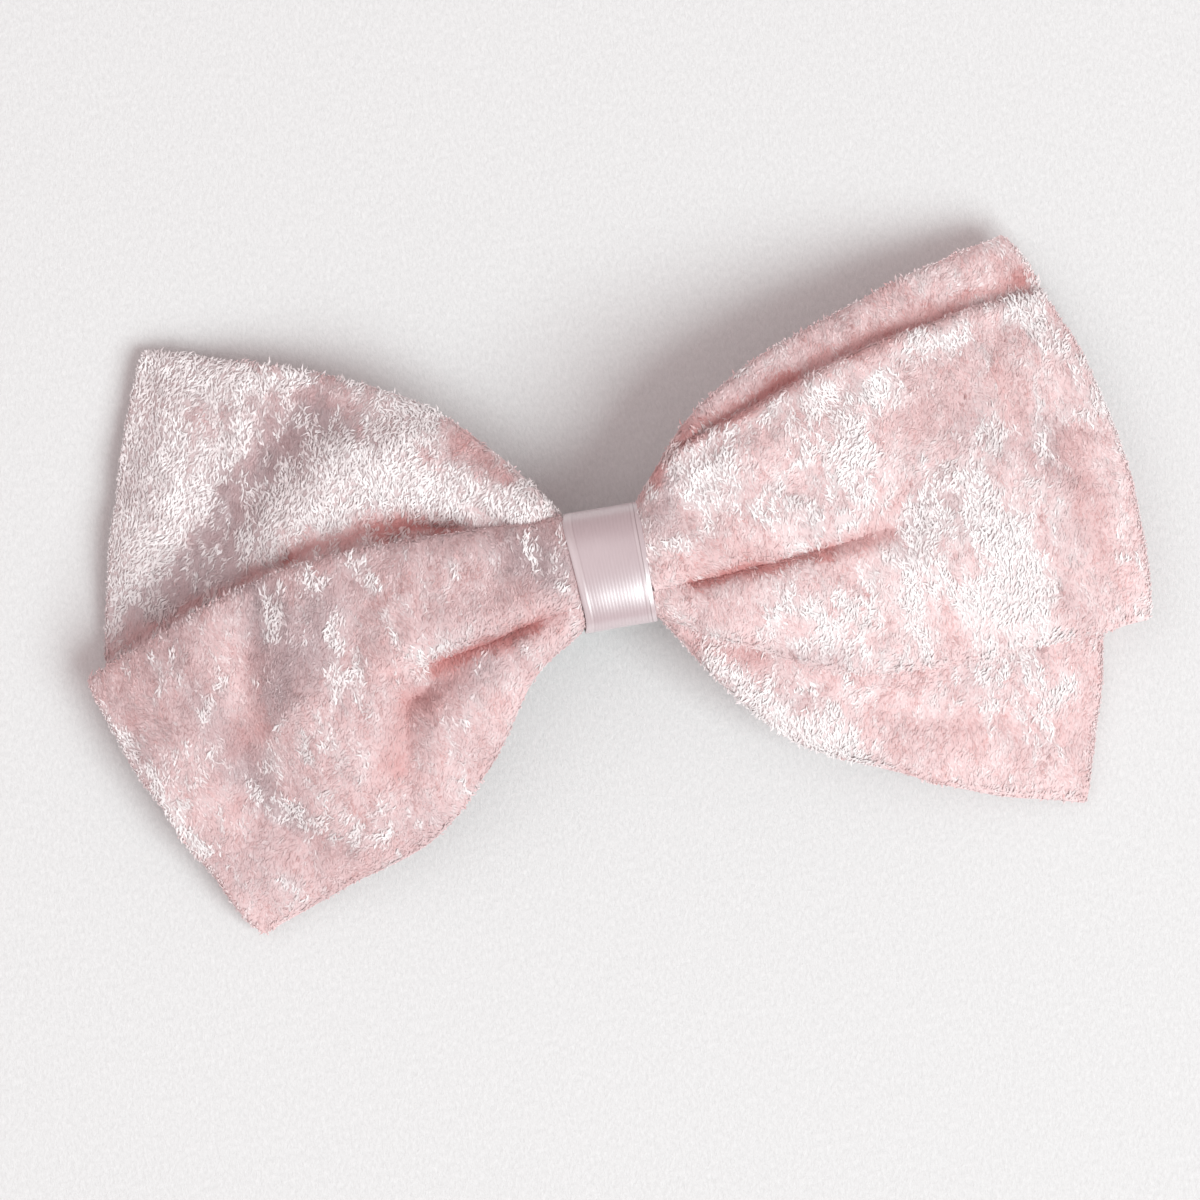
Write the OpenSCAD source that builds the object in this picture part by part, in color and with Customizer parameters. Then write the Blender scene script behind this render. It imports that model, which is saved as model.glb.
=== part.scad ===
// Velvet bow barrette: two crossed velvet panels and a satin band on an arched spring clip.
// Millimetres, +X along the bow, +Y up the wearer's view of it, +Z out of its front.
// The origin lies on the surface that the barrette rests on, at the middle of its outline.

/* [Velvet bow] */
// Length of the bow between its outermost corners
bow_length = 135.5; // [126:0.5:142]
// Distance of the knot's centre above the clip's centre line
bow_offset = 1.3; // [0:0.1:1.6]
// Thickness of a doubled velvet panel on its wings
wing_thickness = 3; // [2.4:0.1:3.2]
// Height of one gathered panel inside the knot
pinch_height = 4; // [3.6:0.1:4.2]
// Width of one gathered panel inside the knot
pinch_width = 14.2; // [13:0.1:14.6]

/* [Satin band] */
// Width of the ribbon
band_width = 9.5; // [8:0.5:10]
// Thickness of the ribbon
band_thickness = 0.4; // [0.3:0.05:0.5]
// Length of the overlap that closes the band behind the base plate
band_overlap = 6; // [4:0.5:7]

/* [Clip] */
// Length of the base plate
clip_length = 76; // [74:0.5:78]
// Width of the base plate
clip_width = 9; // [8.6:0.1:9.6]
// Thickness of the base plate and the locking arm
plate_thickness = 0.8; // [0.6:0.05:0.9]
// Radius that the locking arm's underside is bent to
arch_radius = 280; // [270:5:300]
// Clear height between the locking arm and the base plate
clip_gap = 6.3; // [6.2:0.05:6.6]
// Radius of the hinge pin
pin_radius = 0.6; // [0.5:0.05:0.7]
// Running clearance between the hinge pin and the arm's eye
pin_clearance = 0.05; // [0.03:0.01:0.08]
// Width of the locking arm between its hinge and its frame
arm_width = 5.4; // [4.6:0.1:5.6]

/* [Tension spring] */
// Thickness of the spring strip
spring_thickness = 0.35; // [0.3:0.05:0.4]
// Width of the spring strip
spring_width = 5; // [4:0.1:5.4]

/* [Catch] */
// Thickness of the catch's spring steel
catch_thickness = 0.5; // [0.4:0.05:0.55]
// Width of a prong, along the clip
prong_width = 4.2; // [3.6:0.1:4.4]
// Radius of the rivet's shank
rivet_radius = 0.8; // [0.6:0.05:0.9]

/* [Hidden] */

$fn = 48;
arc_fn = 360;

// Clip levels, worked out upwards from the arm's underside at the middle of the clip.
arm_reach = clip_length / 2 - 0.4;
arm_low_z = arch_radius - sqrt(pow(arch_radius, 2) - pow(arm_reach, 2));
arch_z = arm_low_z - arch_radius;
arm_outer_r = arch_radius + plate_thickness;
plate_inner_r = arm_outer_r + clip_gap;
plate_outer_r = plate_inner_r + plate_thickness;
plate_low_z = arch_z + plate_inner_r;
plate_top_z = arch_z + plate_outer_r;

// Hinge at the clip's left end.
hinge_x = -34;
eye_wall = 0.65;
eye_radius = pin_radius + pin_clearance + eye_wall;
hinge_z = arch_z + sqrt(pow(arch_radius, 2) - pow(hinge_x, 2)) + eye_radius;
ear_thickness = 0.8;
ear_y = clip_width / 2 - 0.4;
ear_top_z = arch_z + sqrt(pow(plate_inner_r, 2) - pow(hinge_x, 2)) + 0.3;
ear_inner_y = ear_y - ear_thickness;
eye_side_gap = 0.2;
pin_head_radius = 1;
pin_head_height = 0.25;

// Catch and arm frame at the clip's right end.
catch_x = 32;
frame_x0 = 27;
frame_corner = 1.2;
window_length = 5.2;
window_width = 6;
window_corner = 0.4;
window_wall_gap = 0.05;
prong_outer_y = 2.6;
prong_mid_y = prong_outer_y - catch_thickness / 2;
prong_low_z = 0.05;
prong_top_z = 5.8;
prong_gap = 0.05;
barb_height = 0.6;
barb_out = window_width / 2 - window_wall_gap - prong_outer_y;
rivet_head_radius = 1.4;
rivet_head_height = 0.4;
rivet_dome_r = (pow(rivet_head_radius, 2) + pow(rivet_head_height, 2)) / (2 * rivet_head_height);
bracket_length = 5.6;

// Holes and slots of the base plate.
sewing_hole_radius = 0.75;
sewing_hole_x = 35.8;
slot_x = 27;
slot_width = 0.8;
tab_width = 3;
tab_side_gap = 0.2;

// Tension spring: a long shallow arc that hangs under the plate.
spring_mid_z = plate_low_z - 1.6;
spring_end_drop = 0.25;
spring_radius = (pow(slot_x, 2) + pow(spring_end_drop, 2)) / (2 * spring_end_drop);
tab_height = 0.9;

// Knot levels.
glue_height = 0.4;
glue_gap = 0.02;
glue_length = 22;
glue_width = 7.2;
back_low_z = plate_top_z + glue_height;
panel_gap = 0.2;
front_low_z = back_low_z + pinch_height + panel_gap;
front_top_z = front_low_z + pinch_height;
band_clearance = 0.2;
plate_clearance = 0.1;
overlap_seat_z = plate_low_z - plate_clearance - 2 * band_thickness;

// Gather thread.
thread_size = 0.45;
thread_bite = 0.25;
thread_turns = 4;
thread_pitch = 1;

// Hand stitches across the end of the band's overlap.
stitch_count = 4;
stitch_length = 1.4;
stitch_size = 0.22;
stitch_inset = 0.9;
bow_corner = 1.6;
plate_corner = 0.2;

// Wing outlines at six even stations from the band to the outer corners, from the knot's centre.
base_length = 135.5;
plan_scale = bow_length / base_length;
back_left_upper = [[-5, 7.1], [-11, 15.5], [-20, 24.3], [-30, 29.3], [-41.5, 33.6], [-53.8, 37.1]];
back_left_lower = [[-5, -7.1], [-16, -6.6], [-28, -6.8], [-40, -7], [-53, -7], [-65.5, -6]];
back_right_upper = [[5, 7.1], [16, 9], [28, 10], [40, 10.5], [51, 10.5], [62, 10]];
back_right_lower = [[5, -7.1], [11.5, -17], [20, -26], [30, -31], [42, -36.2], [54.3, -39.7]];
front_left_upper = [[-5, 7.1], [-14, 7.6], [-27, 7.6], [-40, 6.5], [-54, 2.6], [-67.8, -2.7]];
front_left_lower = [[-5, -7.1], [-12, -12], [-19, -21.5], [-28, -29.7], [-39.6, -33.7], [-51.5, -38.3]];
front_right_upper = [[5, 7.1], [12, 16], [22, 22.4], [33, 26.5], [45, 30.2], [56.4, 33.3]];
front_right_lower = [[5, -7.1], [15, -12.5], [27, -18], [40, -19.6], [53, -18.9], [66.1, -18.3]];

// How far each outer edge bows outwards from the straight line between its corners.
back_left_bulge = -1.7;
back_right_bulge = 2.2;
front_left_bulge = -1.2;
front_right_bulge = 4;

// Height of each wing's middle surface above the knot's, at the same stations: lower edge, middle, upper edge.
back_left_rise = [[0, -0.1, -1.1, -1.9, -5.4, -11.2], [0, 0.6, -0.4, -1.9, -5.3, -10.6],
    [0, -0.4, -2.9, -5.4, -8.4, -11.35]];
back_right_rise = [[0, -0.4, -2.9, -5.4, -8.4, -11.35], [0, 0.4, -0.7, -2.2, -5.6, -10.6],
    [0, -0.2, -1.1, -1.9, -4.8, -10.2]];
front_left_rise = [[0, -2, -5.6, -9, -12.4, -15.55], [0, 0.4, -0.2, -2.6, -6.3, -11.3],
    [0, -0.4, -0.9, -2.4, -5.9, -11.6]];
front_right_rise = [[0, -0.1, -2.2, -4.4, -7.6, -11.2], [0, 0.9, 0.5, -1.4, -5, -10.4],
    [0, -0.6, -3.6, -6.6, -10, -14.8]];

// Mesh density of a panel: stations along each wing and points across it.
wing_steps = 20;
cross_steps = 14;
edge_share = 0.2;
pinch_blend = 0.3;

function mix(a, b, f) = a * (1 - f) + b * f;
function smooth(f) = let (g = min(max(f, 0), 1)) g * g * (3 - 2 * g);

// Point at f (0 to 1) on the Catmull-Rom curve through evenly spaced values.
function spline(list, f) =
    let (
        last = len(list) - 1,
        i = min(floor(f * last), last - 1),
        u = f * last - i,
        a = i > 0 ? list[i - 1] : 2 * list[0] - list[1],
        b = list[i],
        c = list[i + 1],
        d = i + 2 <= last ? list[i + 2] : 2 * list[last] - list[last - 1]
    )
    0.5 * (2 * b + (c - a) * u + (2 * a - 5 * b + 4 * c - d) * u * u + (3 * b - a - 3 * c + d) * u * u * u);

// Height at s along and t across a wing, through its lower, middle and upper rows.
function rise(rows, s, t) =
    2 * (t - 0.5) * (t - 1) * spline(rows[0], s) + 4 * t * (1 - t) * spline(rows[1], s)
    + 2 * t * (t - 0.5) * spline(rows[2], s);

// Half of a panel's thickness: thick at the pinch, rounded off towards both long edges.
function half_thickness(s, t) =
    mix(pinch_height, wing_thickness, smooth(s / pinch_blend)) / 2
    * (edge_share + (1 - edge_share) * sqrt(1 - pow(abs(2 * t - 1), 6)));

// One cross-section of a wing: its top points from the lower to the upper edge, then its bottom points.
function wing_section(lower, upper, bulge, rows, mid_z, s) =
    let (
        lo = spline(lower, s) * plan_scale,
        hi = spline(upper, s) * plan_scale,
        points = [for (j = [0:cross_steps])
            let (t = j / cross_steps)
            [mix(lo[0], hi[0], t) + bulge * pow(s, 4) * 4 * t * (1 - t), mix(lo[1], hi[1], t) + bow_offset,
                mid_z + rise(rows, s, t)]]
    )
    concat(
        [for (j = [0:cross_steps]) points[j] + [0, 0, half_thickness(s, j / cross_steps)]],
        [for (j = [0:cross_steps]) points[j] - [0, 0, half_thickness(s, j / cross_steps)]]
    );

// A closed panel through a row of such cross-sections.
module panel(sections) {
    n = cross_steps + 1;
    last = len(sections) - 1;
    function quad(a, b, c, d) = [[a, b, c], [a, c, d]];
    function side(i, j, k) = quad(i * 2 * n + j, i * 2 * n + k, (i + 1) * 2 * n + k, (i + 1) * 2 * n + j);
    top_faces = [for (i = [0:last - 1], j = [0:n - 2]) each side(i, j, j + 1)];
    low_faces = [for (i = [0:last - 1], j = [0:n - 2]) each side(i, n + j + 1, n + j)];
    low_edge = [for (i = [0:last - 1]) each side(i, n, 0)];
    high_edge = [for (i = [0:last - 1]) each side(i, n - 1, 2 * n - 1)];
    start_cap = [for (j = [0:n - 2]) each quad(j, n + j, n + j + 1, j + 1)];
    end_cap = [for (j = [0:n - 2]) let (o = last * 2 * n) each quad(o + j, o + j + 1, o + n + j + 1, o + n + j)];
    polyhedron(concat([for (s = sections) each s], []),
        concat(top_faces, low_faces, low_edge, high_edge, start_cap, end_cap), convexity = 6);
}

// A left and a right wing joined through the pinch.
module bow_panel(left, right, mid_z) {
    stations = [for (i = [0:wing_steps]) i / wing_steps];
    left_wing = [for (i = [wing_steps:-1:0]) wing_section(left[0], left[1], left[2], left[3], mid_z, stations[i])];
    right_wing = [for (i = [0:wing_steps])
        wing_section(right[0], right[1], right[2], right[3], mid_z, stations[i])];
    panel(concat(left_wing, right_wing));
}

module velvet_back_bow() {
    color([0.93, 0.77, 0.77])
        bow_panel([back_left_lower, back_left_upper, back_left_bulge, back_left_rise],
            [back_right_lower, back_right_upper, back_right_bulge, back_right_rise],
            back_low_z + pinch_height / 2);
}

module velvet_front_bow() {
    color([0.95, 0.8, 0.8])
        bow_panel([front_left_lower, front_left_upper, front_left_bulge, front_left_rise],
            [front_right_lower, front_right_upper, front_right_bulge, front_right_rise],
            front_low_z + pinch_height / 2);
}

// A rectangle with round corners, given by two opposite corners.
module round_rect(a, b, r) {
    translate([a[0] + r, a[1]]) square([b[0] - a[0] - 2 * r, b[1] - a[1]]);
    translate([a[0], a[1] + r]) square([b[0] - a[0], b[1] - a[1] - 2 * r]);
    for (x = [a[0] + r, b[0] - r], y = [a[1] + r, b[1] - r]) translate([x, y]) circle(r);
}

// Turns a shape drawn in (Y, Z) into a slab of the given length about x.
module across(length, x) {
    translate([x - length / 2, 0, 0])
        rotate([90, 0, 90])
            linear_extrude(length) children();
}

module gather_thread() {
    half = pinch_width / 2 - thread_bite;
    low = [bow_offset - half, back_low_z + thread_bite];
    high = [bow_offset + half, front_top_z - thread_bite];
    grown = [thread_size, thread_size];
    color([0.93, 0.86, 0.86])
        for (i = [0:thread_turns - 1])
            across(thread_size, (i - (thread_turns - 1) / 2) * thread_pitch)
                difference() {
                    round_rect(low - grown, high + grown, bow_corner);
                    round_rect(low, high, bow_corner - thread_size);
                }
}

// The outline inside the band, grown by a distance: round the gathered panels and the base plate.
module band_outline(grow) {
    half = pinch_width / 2 + band_clearance;
    g = [grow, grow];
    plate_half = clip_width / 2 + plate_clearance;
    bow_low = [bow_offset - half, back_low_z - band_clearance];
    bow_high = [bow_offset + half, front_top_z + band_clearance];
    round_rect(bow_low - g, bow_high + g, bow_corner + grow);
    round_rect([-plate_half, plate_low_z - plate_clearance] - g, [plate_half, back_low_z + bow_corner] + g,
        plate_corner + grow);
}

module knot_band() {
    color([0.86, 0.76, 0.78]) {
        across(band_width, 0)
            difference() {
                band_outline(band_thickness);
                band_outline(0);
            }
        translate([-band_width / 2, -band_overlap / 2, overlap_seat_z])
            cube([band_width, band_overlap, band_thickness]);
    }
}

module band_stitches() {
    seam_y = stitch_inset - band_overlap / 2;
    pitch = band_width / stitch_count;
    color([0.9, 0.82, 0.84])
        for (i = [0:stitch_count - 1])
            translate([(i - (stitch_count - 1) / 2) * pitch, seam_y, overlap_seat_z])
                rotate([90, 0, 0])
                    cylinder(r = stitch_size / 2, h = stitch_length, center = true, $fn = 16);
}

// A flat outline bent to the clip's arch between two radii.
module arched(inner_r, outer_r) {
    intersection() {
        translate([0, 0, -2]) linear_extrude(plate_top_z + 4) children();
        translate([0, 0, arch_z])
            rotate([90, 0, 0])
                difference() {
                    cylinder(r = outer_r, h = 2 * clip_width, center = true, $fn = arc_fn);
                    cylinder(r = inner_r, h = 2 * clip_width + 2, center = true, $fn = arc_fn);
                }
    }
}

module glue_pad() {
    half = [glue_length / 2, glue_width / 2];
    color([0.95, 0.93, 0.86])
        arched(plate_outer_r, plate_outer_r + glue_height - glue_gap) round_rect(-half, half, 1);
}

// Places a shape on the arch at x, square to it, at a radius.
module on_arch(x, r) {
    translate([0, 0, arch_z])
        rotate([0, asin(x / plate_inner_r), 0])
            translate([0, 0, r]) children();
}

module hinge_bore(r) {
    translate([hinge_x, 0, hinge_z])
        rotate([90, 0, 0])
            cylinder(r = r, h = clip_width + 2, center = true);
}

module ear(y) {
    translate([0, y + ear_thickness, 0])
        rotate([90, 0, 0])
            linear_extrude(ear_thickness) {
                translate([hinge_x, hinge_z]) circle(hinge_z);
                translate([hinge_x - hinge_z, hinge_z]) square([2 * hinge_z, ear_top_z - hinge_z]);
            }
}

module base_plate() {
    half = [clip_length / 2, clip_width / 2];
    color([0.78, 0.78, 0.8])
        difference() {
            union() {
                arched(plate_inner_r, plate_outer_r)
                    difference() {
                        round_rect(-half, half, clip_width / 2 - 0.3);
                        for (x = [-sewing_hole_x, sewing_hole_x]) translate([x, 0]) circle(sewing_hole_radius);
                        for (x = [-slot_x, slot_x])
                            translate([x - slot_width / 2, -tab_width / 2 - tab_side_gap])
                                square([slot_width, tab_width + 2 * tab_side_gap]);
                    }
                ear(ear_inner_y);
                ear(-ear_y);
            }
            hinge_bore(pin_radius);
            on_arch(catch_x, plate_inner_r - 1) cylinder(r = rivet_radius, h = 4);
        }
}

module hinge_pin() {
    color([0.7, 0.7, 0.72])
        translate([hinge_x, 0, hinge_z])
            rotate([90, 0, 0]) {
                cylinder(r = pin_radius, h = 2 * ear_y, center = true);
                for (side = [-1, 1])
                    translate([0, 0, side * (ear_y + pin_head_height / 2)])
                        cylinder(r = pin_head_radius, h = pin_head_height, center = true);
            }
}

module arm_outline() {
    window = [window_length / 2, window_width / 2];
    difference() {
        union() {
            translate([hinge_x, -arm_width / 2]) square([frame_x0 + frame_corner - hinge_x, arm_width]);
            round_rect([frame_x0, -clip_width / 2], [arm_reach, clip_width / 2], frame_corner);
        }
        round_rect([catch_x, 0] - window, [catch_x, 0] + window, window_corner);
    }
}

module locking_arm() {
    eye_length = 2 * (ear_inner_y - eye_side_gap);
    color([0.76, 0.76, 0.78])
        difference() {
            union() {
                arched(arch_radius, arm_outer_r) arm_outline();
                translate([hinge_x, 0, hinge_z])
                    rotate([90, 0, 0])
                        cylinder(r = eye_radius, h = eye_length, center = true);
            }
            hinge_bore(pin_radius + pin_clearance);
        }
}

module tension_spring() {
    tab_low = spring_mid_z - spring_end_drop;
    color([0.68, 0.69, 0.72]) {
        intersection() {
            translate([-slot_x, -spring_width / 2, spring_mid_z - 1])
                cube([2 * slot_x, spring_width, 3]);
            translate([0, 0, spring_mid_z - spring_radius])
                rotate([90, 0, 0])
                    difference() {
                        cylinder(r = spring_radius + spring_thickness, h = 2 * spring_width, center = true,
                            $fn = 4 * arc_fn);
                        cylinder(r = spring_radius, h = 3 * spring_width, center = true, $fn = 4 * arc_fn);
                    }
        }
        for (side = [-1, 1])
            translate([side * (slot_x - spring_thickness / 2) - spring_thickness / 2, -tab_width / 2, tab_low])
                cube([spring_thickness, tab_width, spring_thickness + tab_height]);
    }
}

module catch_bracket() {
    flange_low_z = prong_top_z + prong_gap;
    inner_r = plate_inner_r - catch_thickness;
    color([0.74, 0.74, 0.77])
        difference() {
            union() {
                arched(inner_r, plate_inner_r)
                    translate([catch_x - bracket_length / 2, -prong_outer_y])
                        square([bracket_length, 2 * prong_outer_y]);
                intersection() {
                    for (y = [-prong_outer_y, prong_outer_y - catch_thickness])
                        translate([catch_x - prong_width / 2, y, flange_low_z])
                            cube([prong_width, catch_thickness, 4]);
                    translate([0, 0, arch_z])
                        rotate([90, 0, 0])
                            cylinder(r = plate_inner_r - 0.1, h = clip_width, center = true, $fn = arc_fn);
                }
            }
            on_arch(catch_x, plate_inner_r - 2) cylinder(r = rivet_radius, h = 4);
        }
}

module catch_rivet() {
    low_r = plate_inner_r - catch_thickness;
    color([0.7, 0.7, 0.72]) {
        on_arch(catch_x, low_r) cylinder(r = rivet_radius, h = plate_outer_r - low_r);
        on_arch(catch_x, low_r - rivet_head_height) cylinder(r = rivet_head_radius, h = rivet_head_height);
        on_arch(catch_x, plate_outer_r)
            rotate_extrude()
                intersection() {
                    translate([0, rivet_head_height - rivet_dome_r]) circle(rivet_dome_r);
                    square([rivet_head_radius, rivet_head_height]);
                }
    }
}

// The prong on the side of +Y: a strip with a round top to turn on and a barb at its foot.
module prong() {
    translate([catch_x - prong_width / 2, 0, 0])
        rotate([90, 0, 90])
            linear_extrude(prong_width) {
                translate([prong_outer_y - catch_thickness, prong_low_z])
                    square([catch_thickness, prong_top_z - catch_thickness / 2 - prong_low_z]);
                translate([prong_mid_y, prong_top_z - catch_thickness / 2]) circle(catch_thickness / 2);
                polygon([[prong_outer_y - catch_thickness, prong_low_z], [prong_outer_y, prong_low_z],
                    [prong_outer_y + barb_out, prong_low_z + barb_height / 2],
                    [prong_outer_y + barb_out, prong_low_z + barb_height],
                    [prong_outer_y - catch_thickness, prong_low_z + barb_height]]);
            }
}

module catch_prong_upper() {
    color([0.74, 0.74, 0.77]) prong();
}

module catch_prong_lower() {
    color([0.74, 0.74, 0.77]) mirror([0, 1, 0]) prong();
}

velvet_back_bow();
velvet_front_bow();
gather_thread();
knot_band();
band_stitches();
glue_pad();
base_plate();
hinge_pin();
locking_arm();
tension_spring();
catch_bracket();
catch_rivet();
catch_prong_upper();
catch_prong_lower();
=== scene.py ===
"""Velvet bow barrette: crushed-velvet panels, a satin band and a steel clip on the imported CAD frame."""
import math

import bpy
import numpy as np
from mathutils import Matrix, Vector


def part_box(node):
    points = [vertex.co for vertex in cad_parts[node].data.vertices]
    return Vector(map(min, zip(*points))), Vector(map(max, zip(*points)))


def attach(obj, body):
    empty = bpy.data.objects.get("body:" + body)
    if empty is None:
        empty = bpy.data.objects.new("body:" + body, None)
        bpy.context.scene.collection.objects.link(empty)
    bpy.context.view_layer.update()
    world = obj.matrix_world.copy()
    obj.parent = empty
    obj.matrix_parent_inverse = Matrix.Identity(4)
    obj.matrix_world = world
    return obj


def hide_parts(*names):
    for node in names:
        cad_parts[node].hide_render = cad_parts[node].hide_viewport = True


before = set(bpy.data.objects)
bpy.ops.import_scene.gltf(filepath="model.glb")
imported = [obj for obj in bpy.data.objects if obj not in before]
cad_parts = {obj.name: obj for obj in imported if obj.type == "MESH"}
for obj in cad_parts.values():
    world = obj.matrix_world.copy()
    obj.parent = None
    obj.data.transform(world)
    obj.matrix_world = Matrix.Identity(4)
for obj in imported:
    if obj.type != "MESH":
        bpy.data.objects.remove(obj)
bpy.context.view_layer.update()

MM = 0.001
SEED = 7
BODY = "bow"

# --------------------------------------------------------------------------- sizes from the frame, in mm

band_lo, band_hi = (np.array(v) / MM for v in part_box("knot_band"))
thread_lo, thread_hi = (np.array(v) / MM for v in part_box("gather_thread"))
plate_hi = np.array(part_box("base_plate")[1]) / MM

# THREAD_PROUD is how far the thread stands out of the panels, and PANEL_GAP what is left between them.
THREAD_PROUD = 0.2
PANEL_GAP = 0.2
KNOT_Y = (band_lo[1] + band_hi[1]) / 2
BACK_LOW = thread_lo[2] + THREAD_PROUD
FRONT_TOP = thread_hi[2] - THREAD_PROUD
PINCH = (FRONT_TOP - BACK_LOW - PANEL_GAP) / 2
BACK_MID = BACK_LOW + PINCH / 2
FRONT_MID = FRONT_TOP - PINCH / 2
BAND_WIDTH = band_hi[0] - band_lo[0]

# --------------------------------------------------------------------------- number helpers


def smooth(f):
    """A smooth step from 0 to 1."""
    f = np.clip(f, 0, 1)
    return f * f * (3 - 2 * f)


def mix(a, b, f):
    """The value at share f of the way from a to b."""
    return a * (1 - f) + b * f


def spline(values, f):
    """Catmull-Rom curve through evenly spaced values, at shares f from 0 to 1."""
    v = np.asarray(values, float)
    last = len(v) - 1
    x = np.clip(np.asarray(f, float), 0, 1) * last
    i = np.minimum(x.astype(int), last - 1)
    u = x - i
    if v.ndim > 1:
        u = u[..., None]
    padded = np.concatenate([[2 * v[0] - v[1]], v, [2 * v[-1] - v[-2]]])
    a, b, c, d = padded[i], padded[i + 1], padded[i + 2], padded[i + 3]
    square = (2 * a - 5 * b + 4 * c - d) * u**2
    cube = (3 * b - a - 3 * c + d) * u**3
    return 0.5 * (2 * b + (c - a) * u + square + cube)


def hash01(ix, iy, iz, seed):
    """Repeatable random numbers from 0 to 1 for whole-number grid points."""
    h = (ix * 374761393 + iy * 668265263 + iz * 2147483647 + seed * 1274126177) & 0xFFFFFFFF
    h = ((h ^ (h >> 13)) * 1274126177) & 0xFFFFFFFF
    h = ((h ^ (h >> 16)) * 2246822519) & 0xFFFFFFFF
    return ((h ^ (h >> 15)) & 0xFFFFFF) / float(0xFFFFFF)


def noise(points, size, seed):
    """Smooth value noise from -1 to 1 at points in mm, with cells of one size in mm, or one for each axis."""
    p = np.asarray(points, float) / np.asarray(size, float) + 1000
    base = np.floor(p).astype(np.int64)
    f = p - base
    f = f * f * (3 - 2 * f)
    total = 0
    for dx in (0, 1):
        for dy in (0, 1):
            for dz in (0, 1):
                w = np.where(dx, f[..., 0], 1 - f[..., 0])
                w = w * np.where(dy, f[..., 1], 1 - f[..., 1])
                w = w * np.where(dz, f[..., 2], 1 - f[..., 2])
                total = total + w * hash01(base[..., 0] + dx, base[..., 1] + dy, base[..., 2] + dz, seed)
    return total * 2 - 1


def line_distance(x, y, points):
    """Distance of each (x, y) from a broken line, and how far along it the nearest point is, from 0 to 1."""
    best = np.full(np.shape(x), 1e9)
    along = np.zeros(np.shape(x))
    pts = np.asarray(points, float)
    lengths = np.hypot(*(pts[1:] - pts[:-1]).T)
    starts = np.concatenate([[0], np.cumsum(lengths)])
    for i, (a, b) in enumerate(zip(pts[:-1], pts[1:])):
        d = b - a
        share = np.clip(((x - a[0]) * d[0] + (y - a[1]) * d[1]) / (d @ d), 0, 1)
        dist = np.hypot(x - a[0] - share * d[0], y - a[1] - share * d[1])
        nearer = dist < best
        best = np.where(nearer, dist, best)
        along = np.where(nearer, (starts[i] + share * lengths[i]) / starts[-1], along)
    return best, along


# --------------------------------------------------------------------------- the four wings
# Plan points are in mm from the knot's centre, at even stations from the band to the outer corners.
# bulge is how far the middle of the free end bows in x, in mm.
# rise is the middle surface's height above the knot's, along the lower edge, the middle and the upper edge.
# ridges are soft folds: a line, its height in mm at both ends, and its width in mm.
# level is how pale the painted sheen leaves the pile between the strokes, glow lightens the whole wing with
# painted light, and the grey value after glow greys it with painted shade.
# grain is the way the pile lies, in degrees from +X.
# sheen holds strokes of painted sheen that pale the pile towards white; the two lists after it are strokes of
# painted greyish shade and painted deep rose shade in folds, creases and pockets: a line, a width in mm, a
# strength.
# pleat is a knife pleat: its fold's place and its tuck, as shares of the wing's width, and its drop in mm.

BACK_LEFT = dict(
    upper=[(-5, 7.1), (-11, 15.5), (-20, 24.3), (-30, 29.3), (-41.5, 33.6), (-53.8, 37.1)],
    lower=[(-5, -7.1), (-16, -6.6), (-28, -6.8), (-40, -7), (-53, -7), (-65.5, -6)],
    bulge=-1.7,
    rise=[
        [1.5, -0.1, -1.1, -1.9, -5.4, -11.2],
        [0, 0.9, 0.2, -1.5, -5.1, -10.6],
        [1.5, -0.4, -2.9, -5.4, -8.4, -11.35],
    ],
    ridges=[
        ([(-35, 26), (-44, 18), (-52, 10), (-59, 3)], -1.3, -1.6, 5.0),
        ([(-49, 33), (-56, 20), (-62, 6)], 0.6, 0.9, 4.2),
        ([(-24, 19), (-33, 17), (-42, 13)], 0.9, 0.7, 4.0),
        ([(-9, 9), (-17, 15), (-27, 21)], 1.7, 0.5, 4.0),
        ([(-19, 8.4), (-25, 9.6), (-34, 9.6), (-46, 6)], -2.0, -0.7, 1.8),
        ([(-12, 8), (-19, 13)], -0.4, -0.2, 1.1),
    ],
    level=0.68,
    glow=0.09,
    grey_shade_level=0.18,
    grain=66,
    sheen=[
        ([(-53, 34), (-45, 32.5)], 3.0, 0.6),
        ([(-53, 31), (-58, 21), (-62, 10)], 4.0, 0.6),
        ([(-53, 22), (-56, 12)], 3.0, 0.35),
        ([(-44, 31), (-35, 30)], 2.0, 0.3),
        ([(-42, 14), (-38, 17), (-36, 12)], 2.0, 0.4),
        ([(-33, 18), (-25, 21), (-19, 23)], 3.6, 0.34),
        ([(-32, 14), (-22, 14), (-12, 11), (-8, 9)], 3.2, 0.36),
        ([(-49, 28), (-47, 25)], 2.0, -0.35),
        ([(-36, 26), (-45, 17), (-54, 7)], 3.0, -0.28),
        ([(-35, 28), (-30, 27)], 1.6, -0.3),
        ([(-21, 18), (-15, 17)], 1.8, -0.4),
        ([(-38, 10), (-28, 11)], 1.8, -0.4),
        ([(-17, 20), (-11, 14)], 1.2, -0.5),
    ],
    grey_shade=[
        ([(-35, 25), (-45, 17), (-55, 7)], 4.0, 1.0),
        ([(-32, 24), (-25, 21)], 2.4, 0.4),
        ([(-46, 9), (-60, 5)], 3.0, 0.5),
    ],
    fold_shade=[
        ([(-19.5, 8.4), (-27, 10)], 1.7, 1.0),
        ([(-27, 9.8), (-40, 8.6)], 1.5, 0.65),
        ([(-40, 8), (-52, 4.6), (-65, 0.6)], 0.9, 0.5),
        ([(-17, 20), (-11, 14)], 1.2, 0.4),
        ([(-36, 28), (-31, 27)], 1.4, 0.25),
        ([(-50, 28), (-47, 26)], 1.8, 0.15),
    ],
)
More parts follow.
